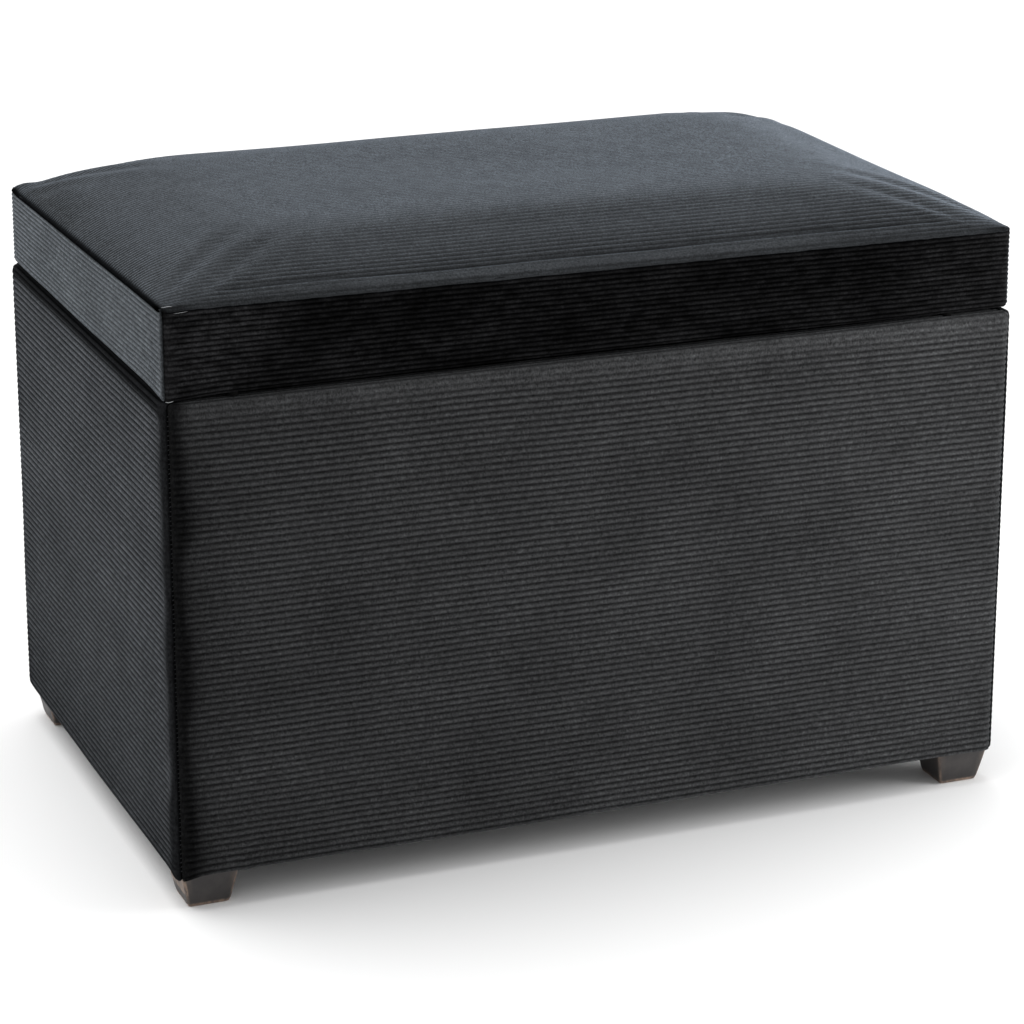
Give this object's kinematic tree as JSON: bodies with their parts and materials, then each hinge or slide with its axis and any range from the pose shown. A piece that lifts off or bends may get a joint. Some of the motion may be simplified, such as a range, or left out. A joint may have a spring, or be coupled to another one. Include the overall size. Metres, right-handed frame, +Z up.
{
  "type": "storage bench",
  "caption": "Corduroy-covered storage bench with a padded hinged lid on gas struts, standing on tapered block feet.",
  "frame": {"origin": "on the floor under the middle of the box", "axes": "+X along the bench's length, to the right seen from the front; front faces -Y; +Z up"},
  "size_m": [0.62, 0.4, 0.444],
  "materials": {
    "corduroy": "charcoal six-wale corduroy, soft pile",
    "lining": "black non-woven, matt",
    "chipboard": "raw chipboard, matt",
    "softwood": "sawn softwood, matt",
    "plywood": "raw plywood, matt",
    "foam": "upholstery foam, matt",
    "foot_wood": "black-brown stain, satin",
    "rubber": "matt",
    "rod_chrome": "polished",
    "black_steel": "satin black",
    "strut_plastic": "matt",
    "zinc_steel": "zinc plated"
  },
  "bodies": {
    "box": {"front_panel": "chipboard", "back_panel": "chipboard", "left_panel": "chipboard", "right_panel": "chipboard", "base_panel": "chipboard", "panel_screws": "zinc_steel", "front_cover": "corduroy", "back_cover": "corduroy", "left_cover": "corduroy", "right_cover": "corduroy", "box_lining": "lining", "floor_lining": "lining", "dust_cover": "lining", "base_staples": "zinc_steel", "front_left_foot": "foot_wood", "front_right_foot": "foot_wood", "back_left_foot": "foot_wood", "back_right_foot": "foot_wood", "foot_bolts": "zinc_steel", "foot_nuts": "zinc_steel", "left_hinge_box_leaf": "zinc_steel", "right_hinge_box_leaf": "zinc_steel", "hinge_pins": "zinc_steel", "hinge_box_screws": "zinc_steel", "left_box_bracket": "black_steel", "right_box_bracket": "black_steel", "box_bracket_screws": "zinc_steel", "box_clips": "zinc_steel"},
    "lid": {"lid_front_rail": "softwood", "lid_back_rail": "softwood", "lid_left_rail": "softwood", "lid_right_rail": "softwood", "lid_board": "plywood", "lid_board_screws": "zinc_steel", "seat_foam": "foam", "seat_cover": "corduroy", "front_band": "corduroy", "back_band": "corduroy", "left_band": "corduroy", "right_band": "corduroy", "lid_lining": "lining", "lid_staples": "zinc_steel", "lid_bumpers": "rubber", "left_hinge_lid_leaf": "zinc_steel", "right_hinge_lid_leaf": "zinc_steel", "hinge_lid_screws": "zinc_steel", "left_lid_bracket": "black_steel", "right_lid_bracket": "black_steel", "lid_bracket_screws": "zinc_steel", "lid_clips": "zinc_steel"},
    "left_tube": {"left_strut_tube": "black_steel", "left_strut_top_eye": "black_steel"},
    "left_rod": {"left_strut_rod": "rod_chrome", "left_strut_piston": "strut_plastic", "left_strut_bottom_eye": "black_steel"},
    "right_tube": {"right_strut_tube": "black_steel", "right_strut_top_eye": "black_steel"},
    "right_rod": {"right_strut_rod": "rod_chrome", "right_strut_piston": "strut_plastic", "right_strut_bottom_eye": "black_steel"}
  },
  "joints": [
    {"name": "lid_hinge", "type": "hinge", "parent": "box", "child": "lid", "pos_m": [0, 0.197, 0.3562], "axis": [-1, 0, 0], "range_deg": [0, 85]},
    {"name": "left_rod_pivot", "type": "hinge", "parent": "box", "child": "left_rod", "pos_m": [-0.283, 0.157, 0.19097], "axis": [-1, 0, 0], "range_deg": [0, 42.5]},
    {"name": "left_tube_pivot", "type": "hinge", "parent": "lid", "child": "left_tube", "pos_m": [-0.283, 0.02775, 0.3402], "axis": [-1, 0, 0], "range_deg": [-42.5, 0]},
    {"name": "right_rod_pivot", "type": "hinge", "parent": "box", "child": "right_rod", "pos_m": [0.283, 0.157, 0.19097], "axis": [-1, 0, 0], "range_deg": [0, 42.5]},
    {"name": "right_tube_pivot", "type": "hinge", "parent": "lid", "child": "right_tube", "pos_m": [0.283, 0.02775, 0.3402], "axis": [-1, 0, 0], "range_deg": [-42.5, 0]}
  ],
  "couplings": [
    {"joint": "left_rod_pivot", "follows": "lid_hinge", "ratio": 0.5},
    {"joint": "left_tube_pivot", "follows": "lid_hinge", "ratio": -0.5},
    {"joint": "right_rod_pivot", "follows": "lid_hinge", "ratio": 0.5},
    {"joint": "right_tube_pivot", "follows": "lid_hinge", "ratio": -0.5}
  ]
}
